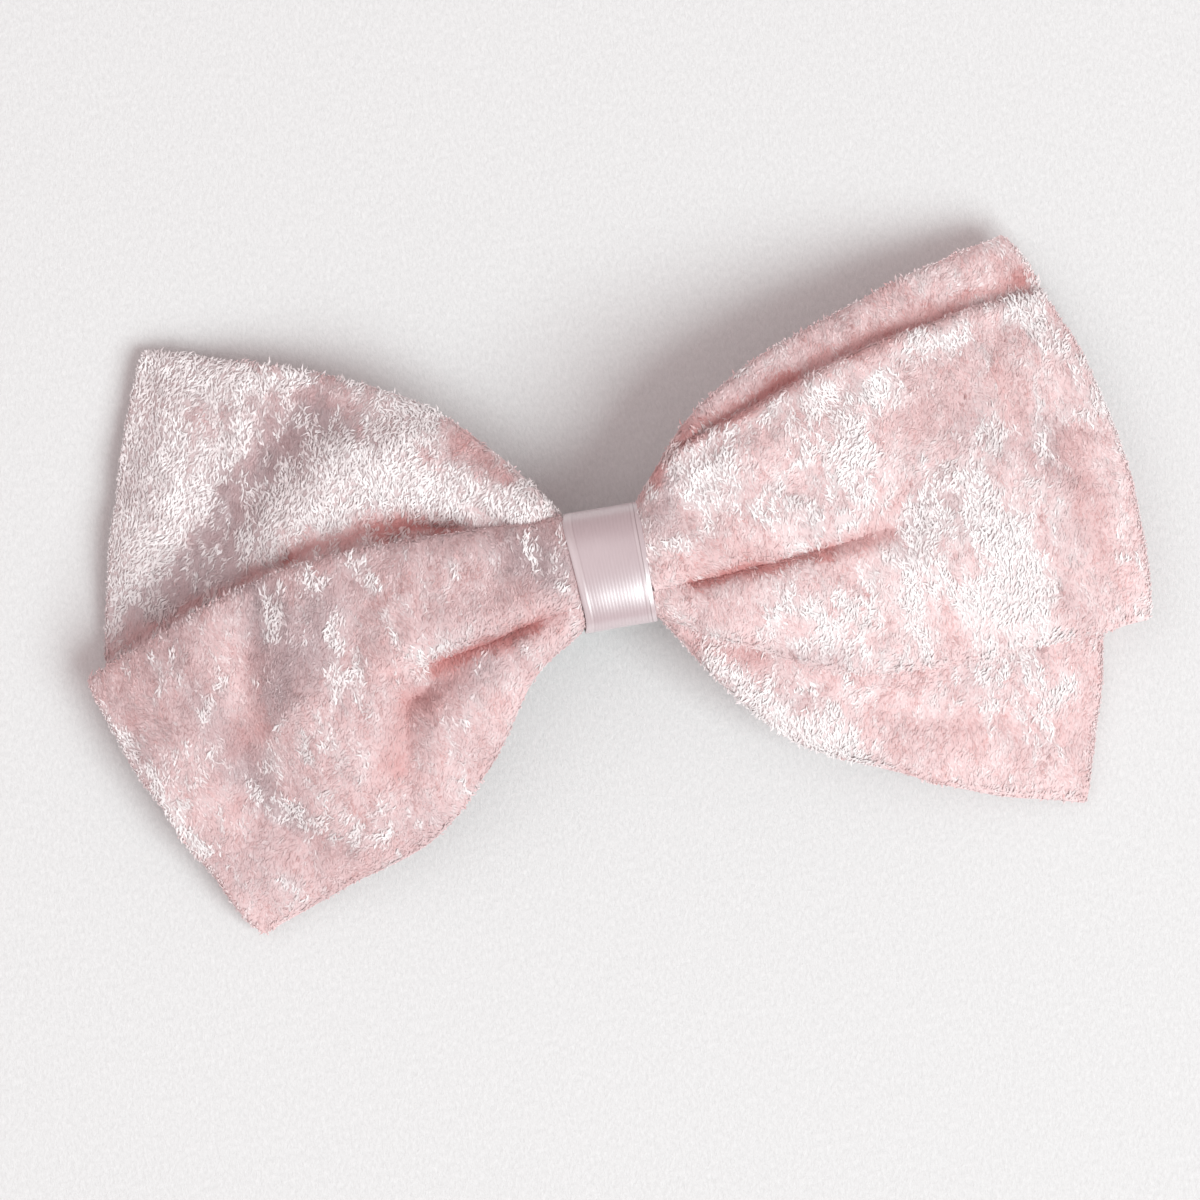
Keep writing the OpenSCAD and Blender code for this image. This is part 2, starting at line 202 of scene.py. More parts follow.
BACK_RIGHT = dict(
    upper=[(5, 7.1), (16, 9), (28, 10), (40, 10.5), (51, 10.5), (62, 10)],
    lower=[(5, -7.1), (11.5, -17), (20, -26), (30, -31), (42, -36.2), (54.3, -39.7)],
    bulge=2.2,
    rise=[
        [1.5, -0.4, -2.9, -5.4, -8.4, -11.35],
        [0, 0.4, -0.7, -2.2, -5.6, -10.6],
        [1.5, -0.2, -1.1, -1.9, -4.8, -10.2],
    ],
    ridges=[
        ([(11, -14), (19, -22), (31, -28)], 0.8, 0.8, 3.0),
        ([(30, -23), (43, -28), (55, -30)], -0.7, -0.8, 3.5),
        ([(48, -22), (52, -26)], 0.6, 0.6, 3.0),
    ],
    level=0.3,
    glow=0.03,
    grey_shade_level=0.04,
    grain=84,
    sheen=[
        ([(11, -13.5), (14, -19), (19, -23.5), (27, -29)], 2.6, 0.75),
        ([(21, -20), (32, -22)], 1.8, 0.3),
        ([(49, -20), (51, -23.5), (54, -25)], 2.2, 0.65),
        ([(44, -22), (46, -29)], 2.6, 0.28),
        ([(48, -31), (49, -32)], 1.4, 0.4),
        ([(33, -29), (42, -31)], 3.0, -0.3),
        ([(57, -22), (55, -38)], 1.6, -0.4),
    ],
    grey_shade=[
        ([(12, -16), (22, -21)], 1.6, 0.3),
    ],
    fold_shade=[
        ([(9, -11.5), (17, -14.5)], 1.2, 0.5),
        ([(34, -29), (42, -28)], 2.6, 0.2),
    ],
)
FRONT_LEFT = dict(
    upper=[(-5, 7.1), (-14, 7.4), (-27, 7.6), (-40, 6.6), (-54, 2.6), (-67.8, -2.7)],
    lower=[(-5, -7.1), (-12, -12), (-19, -21.5), (-28, -29.7), (-39.6, -33.7), (-51.5, -38.3)],
    bulge=-1.2,
    rise=[
        [-1.5, -2, -5.6, -9, -12.4, -15.55],
        [0, 0.4, -0.2, -2.6, -6.3, -11.3],
        [-1.5, -1.3, -1.5, -2.8, -6.0, -11.4],
    ],
    ridges=[
        ([(-7, -4), (-12.4, -5.2), (-17.2, -6.4), (-23.8, -7.5), (-30, -8.2)], -2.8, -0.4, 1.1),
        ([(-15, -7.4), (-23, -9), (-28, -12.5), (-30, -20)], -0.9, -1.5, 2.5),
        ([(-8, -1.8), (-18, -3.0), (-28, -5.0)], 0.9, 0.4, 2.4),
        ([(-41, -12), (-37, -18)], 1.7, 1.5, 4.6),
        ([(-46, -1), (-48, -12), (-50, -20), (-44, -27)], -0.9, -1.3, 3.2),
        ([(-59, -6), (-57, -18), (-52, -30)], 0.6, 0.7, 4.5),
        ([(-32, 4), (-34, -6)], -0.5, -0.4, 2.2),
        ([(-24, -14), (-20, -19)], 0.7, 0.5, 3.0),
        ([(-33, -23), (-35, -29)], 0.4, 0.5, 2.6),
    ],
    level=0.27,
    glow=0.0,
    grey_shade_level=0.26,
    grain=84,
    sheen=[
        ([(-42.5, 4), (-42.5, -2)], 1.3, 0.55),
        ([(-38, 5), (-33, 5)], 1.8, 0.35),
        ([(-31, 5.5), (-30, 2)], 0.9, 0.4),
        ([(-36, 0), (-38, -5)], 2.0, 0.3),
        ([(-35, -8), (-34, -9)], 1.2, 0.45),
        ([(-25, -6.6), (-21, -6.4)], 1.1, 0.5),
        ([(-48, -0.5), (-49, 0)], 1.2, 0.4),
        ([(-59, -3), (-57, -5)], 1.8, 0.4),
        ([(-54, -15), (-50, -19.5), (-46, -24)], 2.0, 0.45),
        ([(-45, -24), (-40, -28), (-35, -29)], 1.6, 0.4),
        ([(-42, -22), (-41, -25)], 1.2, 0.35),
        ([(-32, -25), (-31, -28)], 1.4, 0.4),
        ([(-67, -7), (-62, -18), (-56, -29)], 1.3, 0.6),
        ([(-42.5, -15), (-42, -18)], 1.0, 0.35),
        ([(-9, 4), (-6, -2)], 1.8, 0.4),
        ([(-18, 5), (-19.5, 2)], 1.2, 0.45),
        ([(-19, -10), (-22, -17)], 1.6, 0.25),
        ([(-46, -13), (-47, -19)], 1.4, 0.3),
        ([(-60, -12), (-58, -20)], 3, 0.12),
    ],
    grey_shade=[
        ([(-44, 4), (-45, -8)], 3.2, 0.8),
        ([(-36, 3), (-39, -5)], 3.4, 0.6),
        ([(-52, -16), (-46, -24)], 3.2, 0.7),
        ([(-11, 4), (-7, 1)], 3.0, 0.8),
        ([(-17, -9), (-26, -12)], 2.4, 0.4),
        ([(-54, -8), (-50, -14)], 2.6, 0.4),
    ],
    fold_shade=[
        ([(-10, -5.6), (-17, -7.4), (-25, -8.9)], 1.2, 1.0),
        ([(-28, -12), (-30, -17), (-32, -21)], 2.0, 0.5),
        ([(-47, -4), (-48, -12), (-52, -15)], 2.0, 0.3),
        ([(-52, -22), (-47, -27)], 2.4, 0.2),
        ([(-22, -10), (-26, -13)], 2.0, 0.4),
        ([(-32, -5), (-30, -8)], 2.0, 0.15),
    ],
)
FRONT_RIGHT = dict(
    upper=[(5, 7.1), (12, 16), (22, 22.4), (33, 26.5), (45, 30.2), (56.4, 33.3)],
    lower=[(5, -7.1), (15, -12.5), (27, -18), (40, -19.6), (53, -18.9), (66.1, -18.3)],
    bulge=4.0,
    rise=[
        [-1.5, -0.1, -2.2, -4.4, -7.6, -11.2],
        [0, 0.9, 0.5, -1.2, -4.4, -9.6],
        [-1.5, -0.2, -1.8, -3.4, -6.4, -11.2],
    ],
    ridges=[
        ([(6, -3.4), (11.4, -3.5), (17, -3.1), (23, -2.6), (29, -2), (36, -1)], -3.0, -0.4, 1.1),
        ([(8, 0.2), (18, 1.6), (30, 3.6)], 0.9, 0.4, 2.8),
        ([(9, -7), (20, -8.6), (32, -9.5)], 0.6, 0.6, 3.2),
        ([(59, 11), (61, 1), (60, -10)], -0.5, -0.9, 2.4),
        ([(53, 20), (53, 8), (51, -1)], -0.4, -0.6, 2.2),
        ([(46, 6), (48, -9)], 0.5, 0.9, 4.6),
        ([(13, 11), (33, 11)], 0.4, 0.5, 4.0),
        ([(38, 15), (42, 6), (37, -3)], -0.5, -0.5, 2.4),
        ([(22, -12), (34, -14)], -0.4, -0.4, 2.2),
    ],
    level=0.41,
    glow=0.08,
    grey_shade_level=0.0,
    grain=82,
    sheen=[
        ([(10.5, 12), (14, 8)], 2.6, 0.5),
        ([(14, 8), (17, 11.5)], 2.6, 0.4),
        ([(6, 0.4), (9, 1.8)], 1.0, 0.5),
        ([(33, 12), (33, 7.6)], 2.4, 0.75),
        ([(29, 17), (36, 16.5)], 2.0, 0.4),
        ([(18, 15), (25, 17.6)], 1.6, 0.4),
        ([(43, 21), (49, 21.4)], 1.5, 0.6),
        ([(57, 24), (59.5, 18)], 1.8, 0.65),
        ([(63.5, 14), (65, 9)], 1.0, 0.5),
        ([(57, 10), (57, 6)], 1.5, 0.4),
        ([(25, 2), (33, 2.6)], 2.4, 0.3),
        ([(20, 6), (28, 8)], 3.0, 0.2),
        ([(39, -3), (46, 1), (48, -6)], 3.6, 0.6),
        ([(50, -4), (52, -12), (44, -12)], 2.8, 0.7),
        ([(51, -15), (52, -19)], 2.0, 0.4),
        ([(19, -7), (24, -12), (30, -13)], 3.0, 0.28),
        ([(28, -8), (28.5, -10)], 1.0, 0.5),
        ([(36, -9), (38, -16)], 2.4, 0.3),
        ([(43, -11), (43, -15)], 0.9, 0.4),
        ([(52, 7), (50, 9)], 1.2, 0.3),
        ([(7, -1.4), (20, -0.8)], 1.7, -0.6),
        ([(7, -6.5), (16, -9)], 2.2, -0.6),
        ([(16, 18), (32, 23), (55, 29)], 2.6, -0.42),
        ([(40, 12), (47, 14)], 3.0, -0.35),
        ([(55, 20), (54, 10)], 2.6, -0.3),
        ([(62, 4), (60, -8), (62, -15)], 3.4, -0.35),
        ([(57, -12), (58, -17)], 2.0, -0.35),
        ([(36, 1), (30, -3)], 1.8, -0.3),
        ([(20, 20.5), (26, 23.5)], 1.0, 0.3),
    ],
    grey_shade=[
        ([(40, 1), (37, -4)], 2.2, 0.5),
        ([(57, 8), (59, -6)], 3.4, 0.45),
        ([(9, 10), (7, 4)], 2.0, 0.6),
        ([(20, -15), (28, -17)], 2.0, 0.35),
        ([(56, -13), (58, -17)], 2.6, 0.5),
        ([(48, 10), (52, 6)], 2.4, 0.3),
    ],
    fold_shade=[
        ([(10, -3.9), (20, -3.4), (27, -2.9)], 0.9, 1.0),
        ([(27, -2.7), (37, -1.5)], 1.1, 0.5),
        ([(7, 10), (12, 15), (20, 17.2), (26, 19.6)], 1.2, 0.9),
        ([(26, 19.6), (35, 22.3), (46, 24.9), (54, 26.4), (62, 27.4)], 1.1, 0.65),
        ([(7, -1.6), (20, -1)], 2.2, 0.22),
        ([(60, 5), (62, -8)], 2.4, 0.3),
        ([(40, 13), (46, 15)], 2.6, 0.2),
        ([(53, 19), (53, 10)], 2.0, 0.25),
        ([(56, 30), (58, 27)], 2.0, 0.3),
        ([(37, 3), (33, -1)], 1.8, 0.35),
    ],
    pleat=dict(
        at=[0.97, 0.895, 0.866, 0.878, 0.86, 0.839],
        tuck=[0.02, 0.05, 0.08, 0.1, 0.11, 0.12],
        drop=[0.15, 0.7, 1.25, 1.4, 1.3, 0.9],
    ),
)

# --------------------------------------------------------------------------- panel surface

# Rows of points from the band to a free end, and round a rolled edge.
WING_ROWS = 160
EDGE_ROWS = 7
# Columns of points across a wing: the main part, a pleat's turn, its hidden way back, the strip beyond it.
PLAIN_COLUMNS = (104, 4, 4, 8)
PLEAT_COLUMNS = (96, 7, 12, 26)
# Half the doubled panel's thickness in mm, in the wing, at its free end, and in a pleat or beside it.
HALF_WING = 1.15
HALF_EDGE = 0.75
HALF_FOLD = 0.6
# Share of a wing's length over which the pinched cloth at the knot opens out.
PINCH_BLEND = 0.3
# The pinched cloth puffs out beside the band: how much, how far from the middle and over what width, in mm.
PUFF = 0.55
PUFF_AT = 6.6
PUFF_WIDTH = 1.5


def cross_path(wing, s, counts):
    """Shares across the wing, drops in mm, and how thin the cloth is, from 0 to 1, at stations s.

    A knife pleat doubles back, so the shares rise, fall and rise again across it.
    """
    main, turn, back, strip = counts
    if "pleat" not in wing:
        t = np.linspace(0, 1, main + turn + back + turn + strip)
        return np.broadcast_to(t, (len(s), len(t))), np.zeros((len(s), len(t))), np.zeros(len(t))
    at = spline(wing["pleat"]["at"], s)[:, None]
    tuck = spline(wing["pleat"]["tuck"], s)[:, None]
    drop = spline(wing["pleat"]["drop"], s)[:, None]
    radius = 0.2 * tuck
    arc = np.linspace(0, math.pi, turn + 2)[None, 1:-1]
    out = np.linspace(0, 1, main)[None]
    home = np.linspace(0, 1, back)[None]
    away = np.linspace(0, 1, strip)[None]
    t = np.concatenate([
        out * (at - radius),
        at - radius + radius * np.sin(arc),
        mix(at - radius, at - tuck + radius, home),
        at - tuck + radius - radius * np.sin(arc),
        mix(at - tuck + radius, np.ones_like(at), away),
    ], axis=1)
    fall = np.concatenate([
        0 * out * drop,
        drop * (1 - np.cos(arc)) / 2,
        drop + 0 * home,
        drop + drop * (1 - np.cos(arc)) / 2,
        2 * drop + 0 * away,
    ], axis=1)
    thin = np.concatenate([
        smooth((out[0] - 0.86) / 0.12),
        np.ones(turn + back + turn),
        1 - 0.6 * smooth((away[0] - 0.3) / 0.4),
    ])
    return t, fall, thin


def surface(wing, s, counts, mid_z):
    """The middle surface of a wing in mm, by station and place across, with its shares and its thinness."""
    t, fall, thin = cross_path(wing, s, counts)
    lo = spline(wing["lower"], s)[:, None, :]
    hi = spline(wing["upper"], s)[:, None, :]
    plan = mix(lo, hi, t[..., None])
    x = plan[..., 0] + wing["bulge"] * s[:, None] ** 4 * 4 * t * (1 - t)
    y = plan[..., 1]
    rows = [spline(r, s)[:, None] for r in wing["rise"]]
    z = 2 * (t - 0.5) * (t - 1) * rows[0] + 4 * t * (1 - t) * rows[1] + 2 * t * (t - 0.5) * rows[2]
    near_band = smooth((np.abs(x) - 5) / 4.5)
    z = z + PUFF * np.exp(-(((np.abs(x) - PUFF_AT) / PUFF_WIDTH) ** 2)) * (1 - (2 * t - 1) ** 4)
    for line, h0, h1, width in wing["ridges"]:
        dist, along = line_distance(x, y, line)
        z = z + mix(h0, h1, along) * np.exp(-((dist / width) ** 2)) * mix(0.1, 1, near_band)
    flat = np.stack([x, y, np.zeros_like(x)], -1)
    waves = 0.35 * noise(flat, 9, 11) + 0.3 * noise(flat, (3.4, 5, 5), 12) + 0.1 * noise(flat, 1.7, 15)
    z = z + waves * near_band
    x = x + 0.25 * noise(flat, 5, 13) * smooth((s[:, None] - 0.5) * 2)
    y = y + 0.25 * noise(flat, 5, 14) * smooth((s[:, None] - 0.2) * 2)
    return np.stack([x, y + KNOT_Y, mid_z + z - fall], -1), t, thin


def unit(v):
    """Vectors scaled to length 1."""
    return v / np.maximum(np.linalg.norm(v, axis=-1, keepdims=True), 1e-9)


def normals_of(points, left):
    """Unit normals of a grid of points, upwards where the cloth lies flat."""
    along = np.gradient(points, axis=0)
    across = np.gradient(points, axis=1)
    n = np.cross(along, across)
    return unit(-n if left else n)


def wing_loops(wing, left, mid_z, pinch_half):
    """Closed loops of points round a wing, from the band to its free end, and the columns on its top."""
    counts = PLEAT_COLUMNS if "pleat" in wing else PLAIN_COLUMNS
    s = np.linspace(0, 1, WING_ROWS)
    mid, t, thin = surface(wing, s, counts, mid_z)
    n = normals_of(mid, left)
    station = smooth(s / PINCH_BLEND)[:, None]
    round_off = np.sqrt(np.clip(1 - np.abs(2 * t - 1) ** mix(2.6, 8, station), 0, 1))
    full = mix(pinch_half, HALF_WING, station)
    half = mix(np.full_like(t, 0.25), full, round_off)
    half = np.minimum(half, mix(full, HALF_FOLD, thin[None, :] * station))
    half = half * mix(1.0, HALF_EDGE / HALF_WING, smooth((s[:, None] - 0.9) / 0.1))
    out_hi = unit(mid[:, -1] - mid[:, -2])[:, None]
    out_lo = unit(mid[:, 0] - mid[:, 1])[:, None]
    turn = np.linspace(0, math.pi, EDGE_ROWS + 2)[1:-1][None, :, None]
    roll_hi = mid[:, -1:] + half[:, -1:, None] * (np.cos(turn) * n[:, -1:] + np.sin(turn) * out_hi)
    roll_lo = mid[:, :1] + half[:, :1, None] * (-np.cos(turn) * n[:, :1] + np.sin(turn) * out_lo)
    top = mid + half[..., None] * n
    low = (mid - half[..., None] * n)[:, ::-1]
    centre = np.concatenate([mid, np.repeat(mid[:, -1:], EDGE_ROWS, 1), mid[:, ::-1],
                             np.repeat(mid[:, :1], EDGE_ROWS, 1)], axis=1)
    loops = np.concatenate([top, roll_hi, low, roll_lo], axis=1)
    ahead = unit(centre[-1] - centre[-2])
    turn_end = np.linspace(0, math.pi / 2, EDGE_ROWS + 1)[1:-1]
    reach = np.linalg.norm(loops[-1] - centre[-1], axis=-1, keepdims=True)
    rim = loops[-1] - centre[-1]
    caps = [centre[-1] + np.cos(a) * rim + math.sin(a) * reach * ahead for a in turn_end]
    flat_cap = centre[-1] + 0.06 * rim + reach * ahead
    loops = np.concatenate([loops, np.stack(caps + [flat_cap])], axis=0)
    return loops, mid.shape[1]


def loft_faces(rows, columns, flip):
    """Quads between closed loops of points, one loop a row."""
    i, j = np.meshgrid(np.arange(rows - 1), np.arange(columns), indexing="ij")
    k = (j + 1) % columns
    here, ahead = i * columns, (i + 1) * columns
    quads = np.stack([here + j, here + k, ahead + k, ahead + j], -1).reshape(-1, 4)
    return quads[:, ::-1] if flip else quads


def end_faces(first, columns, across, flip):
    """Quads that close the last loop, from its top half to its lower half."""
    j = np.arange(columns // 2 - 1)
    a = (j - EDGE_ROWS // 2) % columns
    b = (j + 1 - EDGE_ROWS // 2) % columns
    c = (columns - 2 - EDGE_ROWS // 2 - j - (EDGE_ROWS + 1) % 2) % columns
    d = (c + 1) % columns
    quads = first + np.stack([a, b, c, d], -1)
    return quads[:, ::-1] if flip else quads


def make_mesh(name, points_mm, faces, material, attributes=None):
    """A smooth mesh object from points in mm, blocks of faces, a material and numbers for each point."""
    mesh = bpy.data.meshes.new(name)
    polygons = []
    for block in faces:
        polygons.extend(np.asarray(block).tolist())
    mesh.from_pydata((np.asarray(points_mm) * MM).tolist(), [], polygons)
    for key, values in (attributes or {}).items():
        layer = mesh.attributes.new(key, "FLOAT", "POINT")
        layer.data.foreach_set("value", np.asarray(values, np.float32))
    mesh.polygons.foreach_set("use_smooth", np.full(len(mesh.polygons), True))
    mesh.validate()
    mesh.update()
    obj = bpy.data.objects.new(name, mesh)
    bpy.context.scene.collection.objects.link(obj)
    mesh.materials.append(material)
    return obj


def strokes(x, y, lines):
    """The sum of soft strokes at (x, y), each a line, a width in mm and a strength."""
    total = np.zeros_like(x)
    for line, width, strength in lines:
        dist, _ = line_distance(x, y, line)
        total = total + strength * np.exp(-((dist / width) ** 2))
    return total


def sheen_and_shade(points, wing):
    """Painted sheen, painted greyish shade and painted deep rose shade in folds of the pile at each point,
    each from 0 to 1.
    """
    drift = np.stack([noise(points, 2.5, 31), noise(points, 2.5, 32), 0 * points[:, 0]], -1)
    x, y = (points + 0.9 * drift)[:, :2].T - np.array([[0], [KNOT_Y]])
    warped = points + 1.2 * drift
    # Painted sheen: paleness from the wing's level, its sheen strokes and noise, turned into shine below.
    sheen_paleness = wing["level"] + strokes(x, y, wing["sheen"])
    sheen_paleness = sheen_paleness + 0.28 * noise(warped, (2.6, 4.4, 5), 21) + 0.5 * noise(warped, (0.8, 1.8, 2), 22)
    # Painted greyish shade, mostly in valleys: the wing's grey value, its strokes and broad noise.
    grey_shade = wing["grey_shade_level"] + strokes(x, y, wing["grey_shade"]) + 0.25 * noise(points, 7, 23)
    # Painted deep rose shade in folds, creases and pockets.
    fold_shade = strokes(x, y, wing["fold_shade"]) + 0.14 * noise(warped, 4, 24)
    shine = smooth((sheen_paleness - SHINE_FROM) / SHINE_SPAN)
    return shine, np.clip(grey_shade, 0, 1), np.clip(fold_shade, 0, 1)


# --------------------------------------------------------------------------- pile tufts

# Tufts a square mm on the top and on the underside, and rows left bare round the underside.
TUFTS_PER_MM2 = 8.8
TUFTS_BELOW = 1.1
BARE_RIM = 6
# Rolled edges have more tufts, and none grow where the surface faces down.
EDGE_TUFTS = 1.3
# How readily places with painted sheen grow white tufts, which are painted sheen glints, and how gradually
# pink turns to white.
WHITE_SHARE = 1.35
WHITE_BLUR = 0.7
# The paleness at which the pile starts to shine, and the span to full shine.
SHINE_FROM = 0.12
SHINE_SPAN = 0.95
# A tuft's least and greatest length and width in mm, and the lift of its middle as a share of its length.
TUFT_LENGTH = (0.55, 1.35)
TUFT_WIDTH = (0.09, 0.18)
TUFT_LIFT = (0.06, 0.2)
# How far shading normals turn: white tufts towards the key light, all with the crush, and edges upwards.
PILE_FLANK = np.array([0.16, -0.3, 0.0])
CRUSH = 0.42
EDGE_UP = np.array([0.0, 0.0, 0.9])


def scatter(loops, across, left, rng):
    """Evenly spread random places on a wing: points, normals, and 1 or 0 for an edge and the underside."""
    a, b = loops[:-1], loops[1:]
    p00, p01 = a, np.roll(a, -1, axis=1)
    p10, p11 = b, np.roll(b, -1, axis=1)
    n = np.cross(p11 - p00, p01 - p10)
    n = -n if left else n
    area = np.linalg.norm(n, axis=-1) / 2
    n = unit(n)
    edge = np.zeros(area.shape)
    edge[:, across:across + EDGE_ROWS] = 1
    edge[:, 2 * across + EDGE_ROWS:] = 1
    edge[-EDGE_ROWS:] = 1
    density = np.zeros(area.shape)
    first, last = across + EDGE_ROWS + BARE_RIM, 2 * across + EDGE_ROWS - BARE_RIM
    density[:-EDGE_ROWS - BARE_RIM, first:last] = TUFTS_BELOW
    density[:, :across] = TUFTS_PER_MM2 * (n[:, :across, 2] > 0.1)
    density = np.where(edge > 0, EDGE_TUFTS * smooth((n[..., 2] - 0.05) / 0.3) * TUFTS_PER_MM2, density)
    density[np.abs(p00[..., 0]) < BAND_WIDTH / 2 - 0.6] = 0
    weight = np.cumsum((area * density).ravel())
    count = int(weight[-1])
    pick = np.searchsorted(weight, (np.arange(count) + rng.random(count)) / count * weight[-1])
    pick = np.minimum(pick, len(weight) - 1)
    u, v = rng.random((2, count, 1))
    flat = [g.reshape(-1, 3)[pick] for g in (p00, p01, p10, p11)]
    points = (1 - u) * ((1 - v) * flat[0] + v * flat[1]) + u * ((1 - v) * flat[2] + v * flat[3])
    under = np.zeros(area.shape)
    under[:, across:] = 1
    return points, n.reshape(-1, 3)[pick], edge.ravel()[pick][:, None], under.ravel()[pick][:, None]


def tufts(name, wing, left, loops, across, material, seed):
    """Crushed pile over a wing: low bent spikes of fibre that lie mostly along its grain or against it."""
    rng = np.random.default_rng(seed)
    root, n, edge, under = scatter(loops, across, left, rng)
    count = len(root)
    shine, grey_shade, fold_shade = sheen_and_shade(root, wing)
    fold_shade = fold_shade * (1 - 0.6 * under[:, 0])
    clump = 0.5 + 0.8 * noise(root, (0.6, 1.6, 1.6), 44)
    # white is how far each tuft is a painted sheen glint, coloured near white.
    white = smooth((WHITE_SHARE * shine - mix(rng.random(count), clump, 0.55)) / WHITE_BLUR)
    # Some tufts on rolled edges are painted near white as well, a painted rim light.
    white = np.maximum(white, (rng.random(count) < 0.6 * edge[:, 0]) * 0.8 * (1 - fold_shade))
    swirl = 0.6 * noise(root, (7, 9, 9), 41) + 0.75 * noise(root, 2.2, 42)
    angle = math.radians(wing["grain"]) + swirl + rng.normal(0, 0.36, count)
    angle = angle + math.pi * (noise(root, 6, 43) + rng.normal(0, 0.25, count) > 0.1)
    lean = np.stack([np.cos(angle), np.sin(angle), np.zeros(count)], -1)
    lean = unit(lean - np.sum(lean * n, -1, keepdims=True) * n)
    side = unit(np.cross(n, lean))
    length = rng.uniform(*TUFT_LENGTH, count)[:, None] * mix(1, 0.55, edge) * mix(0.85, 1.1, white[:, None])
    width = rng.uniform(*TUFT_WIDTH, count)[:, None]
    lift = rng.uniform(*TUFT_LIFT, count)[:, None] * length * mix(0.55, 1, white[:, None])
    lift = lift + 0.2 * edge * length
    sway = rng.normal(0, 0.13, (2, count, 1)) * length
    start = root - 0.08 * n
    middle = root + 0.45 * length * lean + lift * n + sway[0] * side
    tip = root + length * lean + mix(0.1, 0.8, rng.random((count, 1))) * lift * n + sway[1] * side
    spike = [start, middle + width * side, middle - width * side, middle + 0.5 * width * n, tip]
    crush = np.stack([noise(root, (0.9, 1.6, 2), 45), noise(root, (0.9, 1.6, 2), 46), 0 * shine], -1)
    tilt = rng.normal(0, 0.11, (count, 3)) + CRUSH * crush + white[:, None] * PILE_FLANK
    around = [0 * side, 0.45 * side, -0.45 * side, 0 * side, 0.25 * lean]
    normals = np.stack([unit(n + tilt + a) for a in around], axis=1).reshape(-1, 3)
    corners = ([0, 3, 1], [0, 2, 3], [0, 1, 2], [3, 4, 1], [2, 4, 3], [1, 4, 2])
    faces = [len(spike) * np.arange(count)[:, None] + np.array(c) for c in corners]
    # A tuft's colour number: random tone, painted light from glow and painted sheen; white tufts take the
    # painted sheen glint's paleness.
    tone_and_sheen = 0.3 + wing["glow"] + 0.42 * shine + 0.2 * (rng.random(count) - 0.5)
    tone_and_sheen = tone_and_sheen + 0.2 * noise(root, (1.1, 1.8, 2), 47) + 0.22 * noise(root, (0.45, 0.9, 1), 48)
    tone_and_sheen = mix(tone_and_sheen, 0.46 + 0.42 * shine + 0.18 * rng.random(count), white)
    # Painted greyish shade sits between sheen tufts, and painted fold shade is weaker on white ones.
    values = {
        "tone_and_sheen": np.repeat(tone_and_sheen, len(spike)),
        "grey_shade": np.repeat(grey_shade * (1 - 0.8 * white) + 0.15 * shine * (1 - white), len(spike)),
        "fold_shade": np.repeat(fold_shade * (1 - 0.5 * white), len(spike)),
    }
    piece = make_mesh(name, np.stack(spike, axis=1).reshape(-1, 3), faces, material, values)
    own = np.empty(len(normals) * 3, np.float32)
    piece.data.vertex_normals.foreach_get("vector", own)
    own = own.reshape(-1, 3) + EDGE_UP * np.repeat(smooth((n[:, 2:] + 0.3) / 0.5), len(spike), axis=0)
    normals = mix(normals, own, np.repeat(edge, len(spike), axis=0))
    piece.data.normals_split_custom_set_from_vertices(unit(normals))
    return piece


def build_panel(name, left_wing, right_wing, mid_z, cloth, pile, seed):
    """A doubled velvet panel of two wings, and the pile of each wing as a piece of its own."""
    verts, faces, furs = [], [], []
    values = {"tone_and_sheen": [], "grey_shade": [], "fold_shade": []}
    first = 0
    for wing, left in ((left_wing, True), (right_wing, False)):
        loops, across = wing_loops(wing, left, mid_z, PINCH / 2)
        rows, columns = loops.shape[:2]
        flat = loops.reshape(-1, 3)
        verts.append(flat)
        faces.append(first + loft_faces(rows, columns, left))
        faces.append(end_faces(first + (rows - 1) * columns, columns, across, left))
        ring = first + np.arange(columns)
        faces.append([ring.tolist() if left else ring[::-1].tolist()])
        # The cloth between the tufts: painted sheen and glow light, painted greyish shade stronger under the
        # sheen, and painted fold shade weaker on the underside.
        shine, grey_shade, fold_shade = sheen_and_shade(flat, wing)
        fold_shade = fold_shade * np.tile(np.where(np.arange(columns) < across, 1, 0.4), rows)
        values["tone_and_sheen"].append(0.33 + wing["glow"] + 0.3 * shine)
        values["grey_shade"].append(np.clip(grey_shade + 0.2 * shine, 0, 1))
        values["fold_shade"].append(fold_shade)
        side = "left" if left else "right"
        furs.append(tufts(f"{name}_{side}_pile", wing, left, loops, across, pile, seed + left))
        first += rows * columns
    values = {k: np.concatenate(v) for k, v in values.items()}
    return make_mesh(name, np.concatenate(verts), faces, cloth, values), furs


# --------------------------------------------------------------------------- materials


